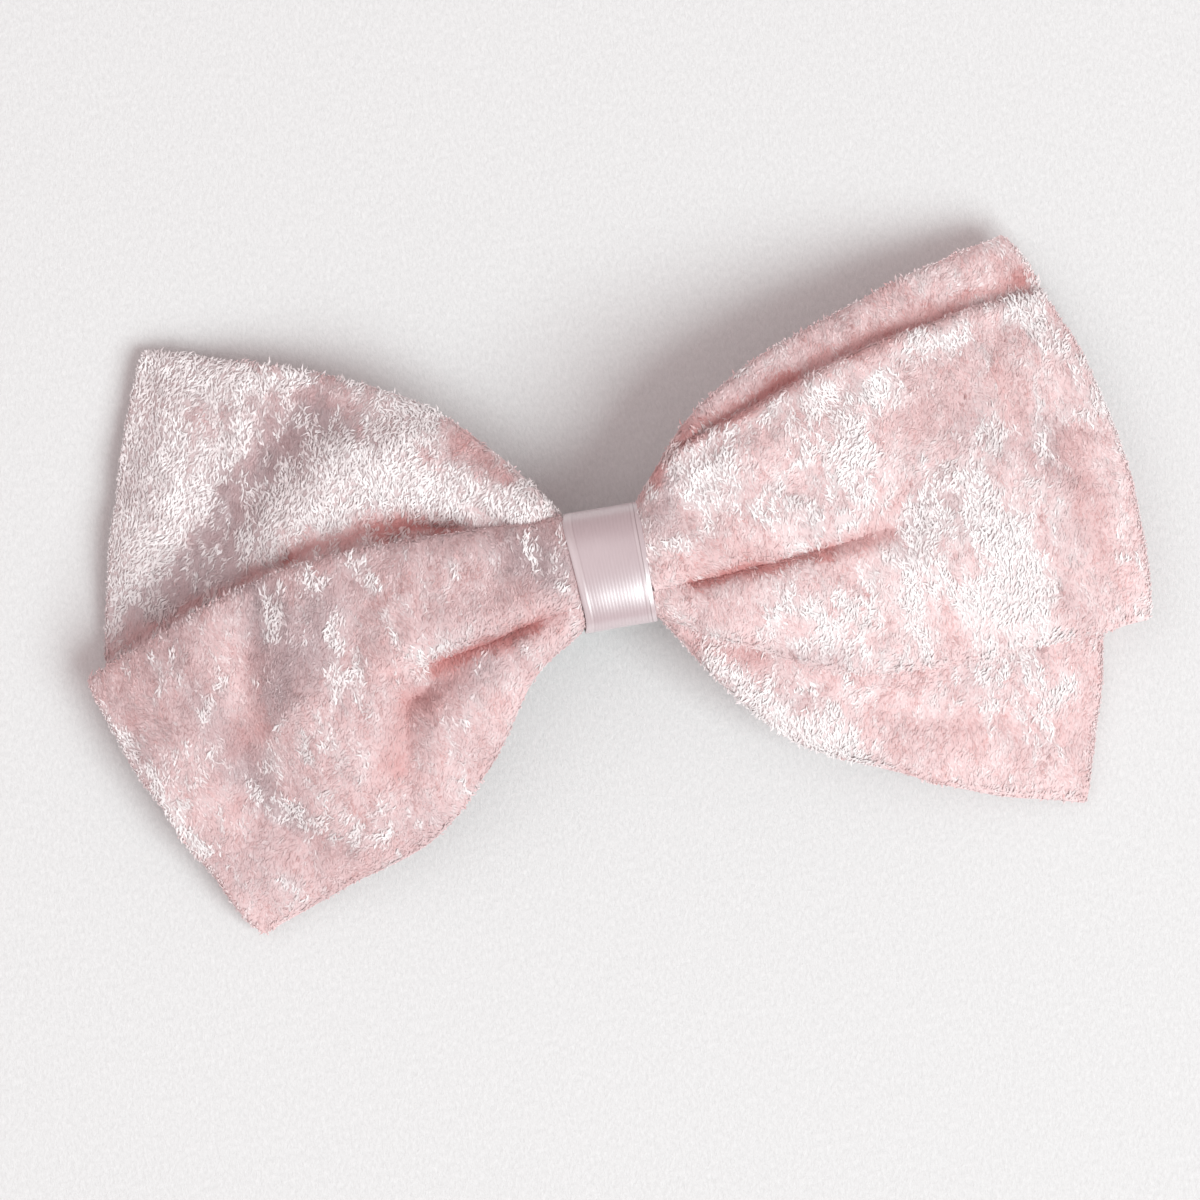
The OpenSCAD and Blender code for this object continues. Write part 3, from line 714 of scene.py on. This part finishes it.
class Nodes:
    """A small helper for building a material's nodes."""

    def __init__(self, name):
        self.material = bpy.data.materials.new(name)
        self.material.use_nodes = True
        self.tree = self.material.node_tree
        self.shader = self.tree.nodes["Principled BSDF"]

    def add(self, kind, settings=None, **inputs):
        node = self.tree.nodes.new(kind)
        for key, value in (settings or {}).items():
            setattr(node, key, value)
        for key, value in inputs.items():
            self.put(node.inputs[key.replace("_", " ")], value)
        return node

    def put(self, socket, value):
        if isinstance(value, bpy.types.NodeSocket):
            self.tree.links.new(value, socket)
        else:
            socket.default_value = value

    def number(self, name):
        return self.add("ShaderNodeAttribute", {"attribute_name": name}).outputs["Fac"]

    def object_place(self):
        return self.add("ShaderNodeTexCoord").outputs["Object"]

    def math(self, operation, a, b=0.0, c=0.0, clamp=False):
        node = self.add("ShaderNodeMath", {"operation": operation, "use_clamp": clamp})
        for socket, value in zip(node.inputs, (a, b, c)):
            self.put(socket, value)
        return node.outputs[0]

    def blend(self, share, a, b, mode="MIX"):
        node = self.add("ShaderNodeMix", {"data_type": "RGBA", "blend_type": mode, "clamp_factor": True})
        self.put(node.inputs[0], share)
        self.put(node.inputs[6], a)
        self.put(node.inputs[7], b)
        return node.outputs[2]

    def mapped(self, scale):
        node = self.add("ShaderNodeMapping", Scale=scale)
        self.put(node.inputs["Vector"], self.object_place())
        return node.outputs["Vector"]

    def noise(self, scale, detail=2.0, roughness=0.5, vector=None, distortion=0.0):
        sizes = {"Scale": scale, "Detail": detail, "Roughness": roughness, "Distortion": distortion}
        node = self.add("ShaderNodeTexNoise", **sizes)
        self.put(node.inputs["Vector"], vector or self.object_place())
        return node.outputs["Fac"]

    def ramp(self, value, stops):
        node = self.add("ShaderNodeValToRGB")
        self.put(node.inputs["Fac"], value)
        ramp = node.color_ramp
        while len(ramp.elements) < len(stops):
            ramp.elements.new(0.5)
        for element, (place, colour) in zip(ramp.elements, stops):
            element.position = place
            element.color = colour
        return node.outputs["Color"]

    def bump(self, height, strength, distance, normal=None):
        node = self.add("ShaderNodeBump", Strength=strength, Distance=distance)
        self.put(node.inputs["Height"], height)
        if normal:
            self.put(node.inputs["Normal"], normal)
        return node.outputs["Normal"]


def rgb(r, g, b):
    """A colour given by its screen values from 0 to 255."""
    def linear(c):
        c = c / 255
        return c / 12.92 if c <= 0.04045 else ((c + 0.055) / 1.055) ** 2.4
    return (linear(r), linear(g), linear(b), 1.0)


# Painted shade colours: deep rose in folds, creases and pockets.
FOLD_SHADE_ROSE = rgb(205, 128, 124)
ROSE = rgb(226, 178, 176)
PINK = rgb(241, 207, 207)
PALE_PINK = rgb(248, 228, 228)
SHEEN_WHITE = rgb(255, 246, 246)
# Mauve is painted greyish shade in valleys and between sheen tufts.
SHADE_MAUVE = rgb(184, 162, 165)
# Rose and pink are the velvet's own colour; the pale pink and sheen white stops are reached mostly through
# painted sheen.
VELVET_TONES_AND_SHEEN = [(0.0, ROSE), (0.35, PINK), (0.62, PALE_PINK), (0.88, SHEEN_WHITE)]


def velvet(name, pile):
    """Crushed velvet, pink, paled towards white by painted sheen, with painted greyish shade in valleys and
    painted deep rose shade in creases. pile is the tufts' version.
    """
    m = Nodes(name)
    streaks = m.noise(1.0, 3.0, 0.6, m.mapped((2300, 800, 1200)), 0.4)
    tone_and_sheen = m.math("ADD", m.number("tone_and_sheen"), m.math("MULTIPLY", m.math("SUBTRACT", streaks, 0.5), 0.3))
    colour = m.ramp(tone_and_sheen, VELVET_TONES_AND_SHEEN)
    # Painted greyish shade, then painted deep rose fold shade, blended over the colour.
    colour = m.blend(m.math("MULTIPLY", m.number("grey_shade"), 0.75), colour, SHADE_MAUVE)
    colour = m.blend(m.math("MULTIPLY", m.number("fold_shade"), 0.85), colour, FOLD_SHADE_ROSE)
    m.put(m.shader.inputs["Base Color"], colour)
    m.put(m.shader.inputs["Roughness"], m.math("SUBTRACT", 0.7, m.math("MULTIPLY", tone_and_sheen, 0.36), clamp=True))
    m.shader.inputs["Specular IOR Level"].default_value = 0.7
    m.shader.inputs["Sheen Weight"].default_value = 0.3
    m.shader.inputs["Sheen Roughness"].default_value = 0.4
    m.shader.inputs["Sheen Tint"].default_value = (1.0, 0.96, 0.96, 1.0)
    fine = m.noise(1.0, 3.0, 0.65, m.mapped((5200, 1700, 2600)), 0.6)
    if pile:
        m.put(m.shader.inputs["Normal"], m.bump(fine, 0.25, 0.00008))
    else:
        coarse = m.noise(1.0, 4.0, 0.6, m.mapped((2300, 850, 1300)), 0.8)
        m.put(m.shader.inputs["Normal"], m.bump(coarse, 0.5, 0.0003, m.bump(fine, 0.4, 0.0001)))
    return m.material


# Ribs over the ribbon's width, its woven lines' distance from the middle, and its seam's place, as shares.
RIBS = 21
WOVEN_LINE = 0.38
SEAM = 0.935


def satin():
    """Satin ribbon: fine ribs along its length, a woven line inside each edge, and a thin dark seam."""
    m = Nodes("satin_ribbon")
    across = m.number("across")
    ribs = m.math("SINE", m.math("MULTIPLY", across, 2 * math.pi * RIBS))
    weave = m.noise(1.0, 3.0, 0.6, m.mapped((9000, 700, 700)))
    line = m.math("COMPARE", m.math("ABSOLUTE", m.math("SUBTRACT", across, 0.5)), WOVEN_LINE, 0.008)
    colour = m.blend(weave, rgb(188, 164, 169), rgb(206, 182, 187))
    rim = m.math("GREATER_THAN", m.math("ABSOLUTE", m.math("SUBTRACT", across, 0.5)), WOVEN_LINE)
    colour = m.blend(m.math("MULTIPLY", rim, 0.5), colour, rgb(216, 196, 199))
    colour = m.blend(m.math("MULTIPLY", line, 0.55), colour, rgb(176, 146, 152))
    seam = m.math("COMPARE", m.math("ADD", across, m.math("MULTIPLY", weave, 0.01)), SEAM, 0.007)
    colour = m.blend(m.math("MULTIPLY", seam, 0.8), colour, rgb(128, 92, 98))
    m.put(m.shader.inputs["Base Color"], colour)
    m.put(m.shader.inputs["Roughness"], m.math("ADD", 0.26, m.math("MULTIPLY", weave, 0.12)))
    m.shader.inputs["Specular IOR Level"].default_value = 0.9
    m.shader.inputs["Sheen Weight"].default_value = 0.2
    m.shader.inputs["Sheen Roughness"].default_value = 0.4
    m.shader.inputs["Coat Weight"].default_value = 0.9
    m.shader.inputs["Coat Roughness"].default_value = 0.32
    m.shader.inputs["Coat IOR"].default_value = 3.4
    height = m.math("ADD", m.math("MULTIPLY", ribs, 0.7), m.math("MULTIPLY", weave, 0.8))
    height = m.math("SUBTRACT", height, m.math("MULTIPLY", line, 2.0))
    m.put(m.shader.inputs["Normal"], m.bump(height, 0.5, 0.00004))
    return m.material


def steel(name, shade, roughness, grain):
    """Rolled or brushed steel with a fine grain along the clip."""
    m = Nodes(name)
    streaks = m.noise(1.0, 4.0, 0.6, m.mapped(grain))
    cloud = m.noise(180, 3.0, 0.6)
    dark = tuple(c * 0.82 for c in shade[:3]) + (1.0,)
    m.put(m.shader.inputs["Base Color"], m.blend(m.math("MULTIPLY", streaks, 0.7), shade, dark))
    level = m.math("ADD", m.math("MULTIPLY", streaks, 0.14), m.math("MULTIPLY", cloud, 0.1))
    m.put(m.shader.inputs["Roughness"], m.math("ADD", level, roughness - 0.1))
    m.shader.inputs["Metallic"].default_value = 1.0
    m.put(m.shader.inputs["Normal"], m.bump(streaks, 0.15, 0.00003))
    return m.material


def thread_cloth():
    """Twisted sewing thread."""
    m = Nodes("sewing_thread")
    twist = m.noise(1.0, 2.0, 0.5, m.mapped((9000, 2500, 2500)), 1.0)
    m.put(m.shader.inputs["Base Color"], m.blend(twist, rgb(222, 196, 199), rgb(238, 222, 222)))
    m.shader.inputs["Roughness"].default_value = 0.6
    m.put(m.shader.inputs["Normal"], m.bump(twist, 0.6, 0.00005))
    return m.material


def glue():
    """Set hot-melt glue: milky, slightly uneven."""
    m = Nodes("set_glue")
    cloud = m.noise(420, 3.0, 0.55)
    m.put(m.shader.inputs["Base Color"], m.blend(cloud, rgb(226, 218, 200), rgb(240, 235, 222)))
    m.put(m.shader.inputs["Roughness"], m.math("ADD", 0.22, m.math("MULTIPLY", cloud, 0.2)))
    m.shader.inputs["Subsurface Weight"].default_value = 0.15
    m.shader.inputs["Subsurface Scale"].default_value = 0.001
    m.put(m.shader.inputs["Normal"], m.bump(cloud, 0.3, 0.0002))
    return m.material


def tabletop():
    """A white board with a fine, slightly pulled grain."""
    m = Nodes("white_board")
    grain = m.noise(1.0, 4.0, 0.75, m.mapped((2300, 1300, 2300)), 0.3)
    broad = m.noise(9, 2.0, 0.5)
    colour = m.blend(grain, rgb(212, 212, 212), rgb(255, 255, 255))
    colour = m.blend(m.math("MULTIPLY", broad, 0.25), colour, rgb(231, 231, 231))
    m.put(m.shader.inputs["Base Color"], colour)
    m.shader.inputs["Roughness"].default_value = 0.75
    m.shader.inputs["Specular IOR Level"].default_value = 0.3
    m.put(m.shader.inputs["Normal"], m.bump(grain, 0.4, 0.0003))
    return m.material


# --------------------------------------------------------------------------- satin band and gather thread

# Half the ribbon's thickness, in mm.
BAND_HALF = 0.14


def even_path(ring, count):
    """A closed smooth path through the ring's points, cut into even steps, and its whole length."""
    dense = spline(np.concatenate([ring, ring[:1]]), np.linspace(0, 1, 2000))
    steps = np.concatenate([[0], np.cumsum(np.hypot(*(dense[1:] - dense[:-1]).T))])
    even = np.linspace(0, steps[-1], count, endpoint=False)
    return np.stack([np.interp(even, steps, dense[:, i]) for i in (0, 1)], -1), steps[-1]


def oval(half_y, low, top, angles, power):
    """Points (y, z) of a rounded oval about the knot, at angles in degrees from +Y."""
    a = np.radians(angles)
    c, d = np.cos(a), np.sin(a)
    return np.stack([KNOT_Y + half_y * np.sign(c) * np.abs(c) ** (2 / power),
                     (low + top) / 2 + (top - low) / 2 * np.sign(d) * np.abs(d) ** (2 / power)], -1)


def band_path(count):
    """The ribbon's round through (y, z) in mm: an oval over the knot that narrows round the base plate."""
    half = (band_hi[1] - band_lo[1]) / 2 - BAND_HALF
    low = band_lo[2] + 0.55
    knot = oval(half, BACK_LOW - 0.3, band_hi[2] - BAND_HALF, np.arange(-60, 241, 7.5), 2.15)
    waist = plate_hi[1] + 0.35
    under = np.array([(-waist, BACK_LOW - 0.5), (-waist, low + 0.5), (-waist + 0.6, low), (0, low),
                      (waist - 0.6, low), (waist, low + 0.5), (waist, BACK_LOW - 0.5)])
    return even_path(np.concatenate([knot, under]), count)


def satin_band(material):
    """The ribbon wound once round the knot and the base plate, a closed thin strip with soft edges."""
    rows, columns = 260, 44
    path, length = band_path(rows)
    ahead = np.roll(path, -1, 0) - np.roll(path, 1, 0)
    out = unit(np.stack([ahead[:, 1], -ahead[:, 0]], -1))
    if np.sum(out[:, 1] * (path[:, 1] - path[:, 1].mean())) < 0:
        out = -out
    w = np.linspace(-1, 1, columns)
    share = (w + 1) / 2
    top_face = smooth((path[:, 1] - (band_hi[2] - 5)) / 4)[:, None]
    swell = -0.12 * w[None] ** 2 * top_face + 0.1 * np.exp(-(((np.abs(w) - 0.85) / 0.05) ** 2))[None] * 0.4
    grid = [np.broadcast_to(v, (rows, columns)) for v in (w * 4, path[:, :1], path[:, 1:])]
    where = np.stack(grid, -1)
    swell = swell + 0.02 * noise(where, (2.2, 5, 5), 51)
    reach = (path[:, :1] - KNOT_Y) / 7 * top_face
    x = w[None] * (BAND_WIDTH / 2 - 0.05) * (1 + 0.06 * reach) - 0.25 * reach
    x = x + 0.06 * noise(where, (30, 3, 3), 52)
    loops = []
    for sign in (1, -1):
        y = path[:, :1] + out[:, :1] * (swell + sign * BAND_HALF)
        z = path[:, 1:] + out[:, 1:] * (swell + sign * BAND_HALF)
        sheet = np.stack([x, y, z], -1)
        loops.append(sheet if sign > 0 else sheet[:, ::-1])
    ring = np.concatenate(loops, axis=1)
    i, j = np.meshgrid(np.arange(rows), np.arange(2 * columns), indexing="ij")
    c = 2 * columns
    next_row, next_column = (i + 1) % rows, (j + 1) % c
    quads = [i * c + j, i * c + next_column, next_row * c + next_column, next_row * c + j]
    quads = np.stack(quads, -1).reshape(-1, 4)
    shares = np.broadcast_to(np.concatenate([share, share[::-1]]), (rows, c)).ravel()
    obj = make_mesh("satin_band", ring.reshape(-1, 3), [quads], material, {"across": shares})
    return obj, length


def gathering_thread(material):
    """Four tight turns of twisted thread round both panels, under the ribbon."""
    turns, strands, radius, pitch = 4, 3, 0.13, 0.75
    rows, sides = 900, 18
    half = (thread_hi[1] - thread_lo[1]) / 2 - 0.75
    round_knot = oval(half, BACK_LOW + 0.25, FRONT_TOP - 0.25, np.arange(0, 360, 7.5), 2.2)
    loop, length = even_path(round_knot, rows // turns)
    f = np.arange(rows) / rows
    y, z = (np.tile(loop[:, i], turns) for i in (0, 1))
    x = (f - 0.5) * turns * pitch
    centre = np.stack([x, y, z], -1)
    ahead = unit(np.gradient(centre, axis=0))
    out = unit(np.stack([0 * x, y - KNOT_Y, z - (BACK_LOW + FRONT_TOP) / 2], -1))
    out = unit(out - np.sum(out * ahead, -1, keepdims=True) * ahead)
    side = np.cross(ahead, out)
    around = np.linspace(0, 2 * math.pi, sides, endpoint=False)[None, :]
    twist = 2 * math.pi * f[:, None] * turns * length / 1.1
    r = radius * (1 + 0.22 * np.cos(strands * (around + twist)))[..., None]
    spoke = np.cos(around)[..., None] * out[:, None] + np.sin(around)[..., None] * side[:, None]
    ring = centre[:, None] + r * spoke
    start = list(range(sides))[::-1]
    end = [(rows - 1) * sides + i for i in range(sides)]
    faces = [loft_faces(rows, sides, True), [start], [end]]
    return make_mesh("gathering_thread", ring.reshape(-1, 3), faces, material)


# --------------------------------------------------------------------------- pieces

cloth = velvet("crushed_velvet", False)
pile = velvet("crushed_velvet_pile", True)
ribbon = satin()
cotton = thread_cloth()

back, back_piles = build_panel("velvet_back", BACK_LEFT, BACK_RIGHT, BACK_MID, cloth, pile, SEED)
front, front_piles = build_panel("velvet_front", FRONT_LEFT, FRONT_RIGHT, FRONT_MID, cloth, pile, SEED + 2)
band, band_length = satin_band(ribbon)
thread = gathering_thread(cotton)

for piece, node, slot in ((back, "velvet_back_bow", "velvet"), (front, "velvet_front_bow", "velvet"),
                          (band, "knot_band", "satin"), (thread, "gather_thread", "thread")):
    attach(piece, BODY)
    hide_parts(node)
for piece in back_piles + front_piles:
    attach(piece, BODY)


# --------------------------------------------------------------------------- the clip's finishes

CLIP_FINISHES = {
    "clip": steel("nickel_plate", (0.66, 0.655, 0.645, 1), 0.26, (90, 2600, 2600)),
    "spring": steel("spring_strip", (0.5, 0.505, 0.52, 1), 0.3, (60, 3600, 3600)),
    "thread": cotton,
    "glue": glue(),
}
FINISH_OF = {
    "base_plate": "clip", "locking_arm": "clip", "hinge_pin": "clip", "catch_rivet": "clip",
    "tension_spring": "spring", "catch_bracket": "spring", "catch_prong_upper": "spring",
    "catch_prong_lower": "spring", "band_stitches": "thread", "glue_pad": "glue",
}
for node, finish in FINISH_OF.items():
    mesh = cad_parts[node].data
    mesh.materials.clear()
    mesh.materials.append(CLIP_FINISHES[finish])

# --------------------------------------------------------------------------- floor, light and camera

# The floor lies just under the bow, so that the two never share a plane. Both are in metres.
FLOOR_SIZE = 2.4
FLOOR_Z = -0.0002

bpy.ops.mesh.primitive_plane_add(size=FLOOR_SIZE, location=(0, 0, FLOOR_Z))
floor = bpy.context.object
floor.name = "floor"
floor.data.materials.append(tabletop())


def area_light(name, direction, distance, size, energy, colour):
    """A square soft light aimed at the bow from a direction in degrees: azimuth from +X, and elevation."""
    azimuth, elevation = (math.radians(a) for a in direction)
    data = bpy.data.lights.new(name, "AREA")
    data.size = size
    data.energy = energy
    data.color = colour
    lamp = bpy.data.objects.new(name, data)
    level = math.cos(elevation)
    aside = Vector((math.cos(azimuth) * level, math.sin(azimuth) * level, math.sin(elevation)))
    lamp.location = distance * aside
    lamp.rotation_euler = (-lamp.location).to_track_quat("-Z", "Y").to_euler()
    bpy.context.scene.collection.objects.link(lamp)


area_light("key", (-50, 48), 2.6, 1.7, 56, (0.89, 1.0, 1.0))
area_light("fill", (150, 60), 2.6, 2.6, 10, (0.995, 0.99, 1.0))

world = bpy.data.worlds.new("soft_room")
world.use_nodes = True
world.node_tree.nodes["Background"].inputs["Color"].default_value = (1.0, 0.84, 0.84, 1)
world.node_tree.nodes["Background"].inputs["Strength"].default_value = 0.5
bpy.context.scene.world = world

# The camera looks straight down from VIEW_DISTANCE metres and sees VIEW_WIDTH of the floor.
VIEW_CENTRE = Vector((-2.1, -2.5, 0)) * MM
VIEW_WIDTH = 153.6 * MM
VIEW_DISTANCE = 1.4
ROLL = math.radians(-9.9)
SENSOR_WIDTH = 36

camera_data = bpy.data.cameras.new("camera")
camera_data.sensor_width = SENSOR_WIDTH
camera_data.lens = SENSOR_WIDTH * VIEW_DISTANCE / VIEW_WIDTH
camera = bpy.data.objects.new("camera", camera_data)
above = VIEW_CENTRE + Vector((0, 0, VIEW_DISTANCE))
camera.matrix_world = Matrix.Translation(above) @ Matrix.Rotation(ROLL, 4, "Z")
bpy.context.scene.collection.objects.link(camera)
bpy.context.scene.camera = camera
bpy.context.scene.view_settings.view_transform = "Standard"
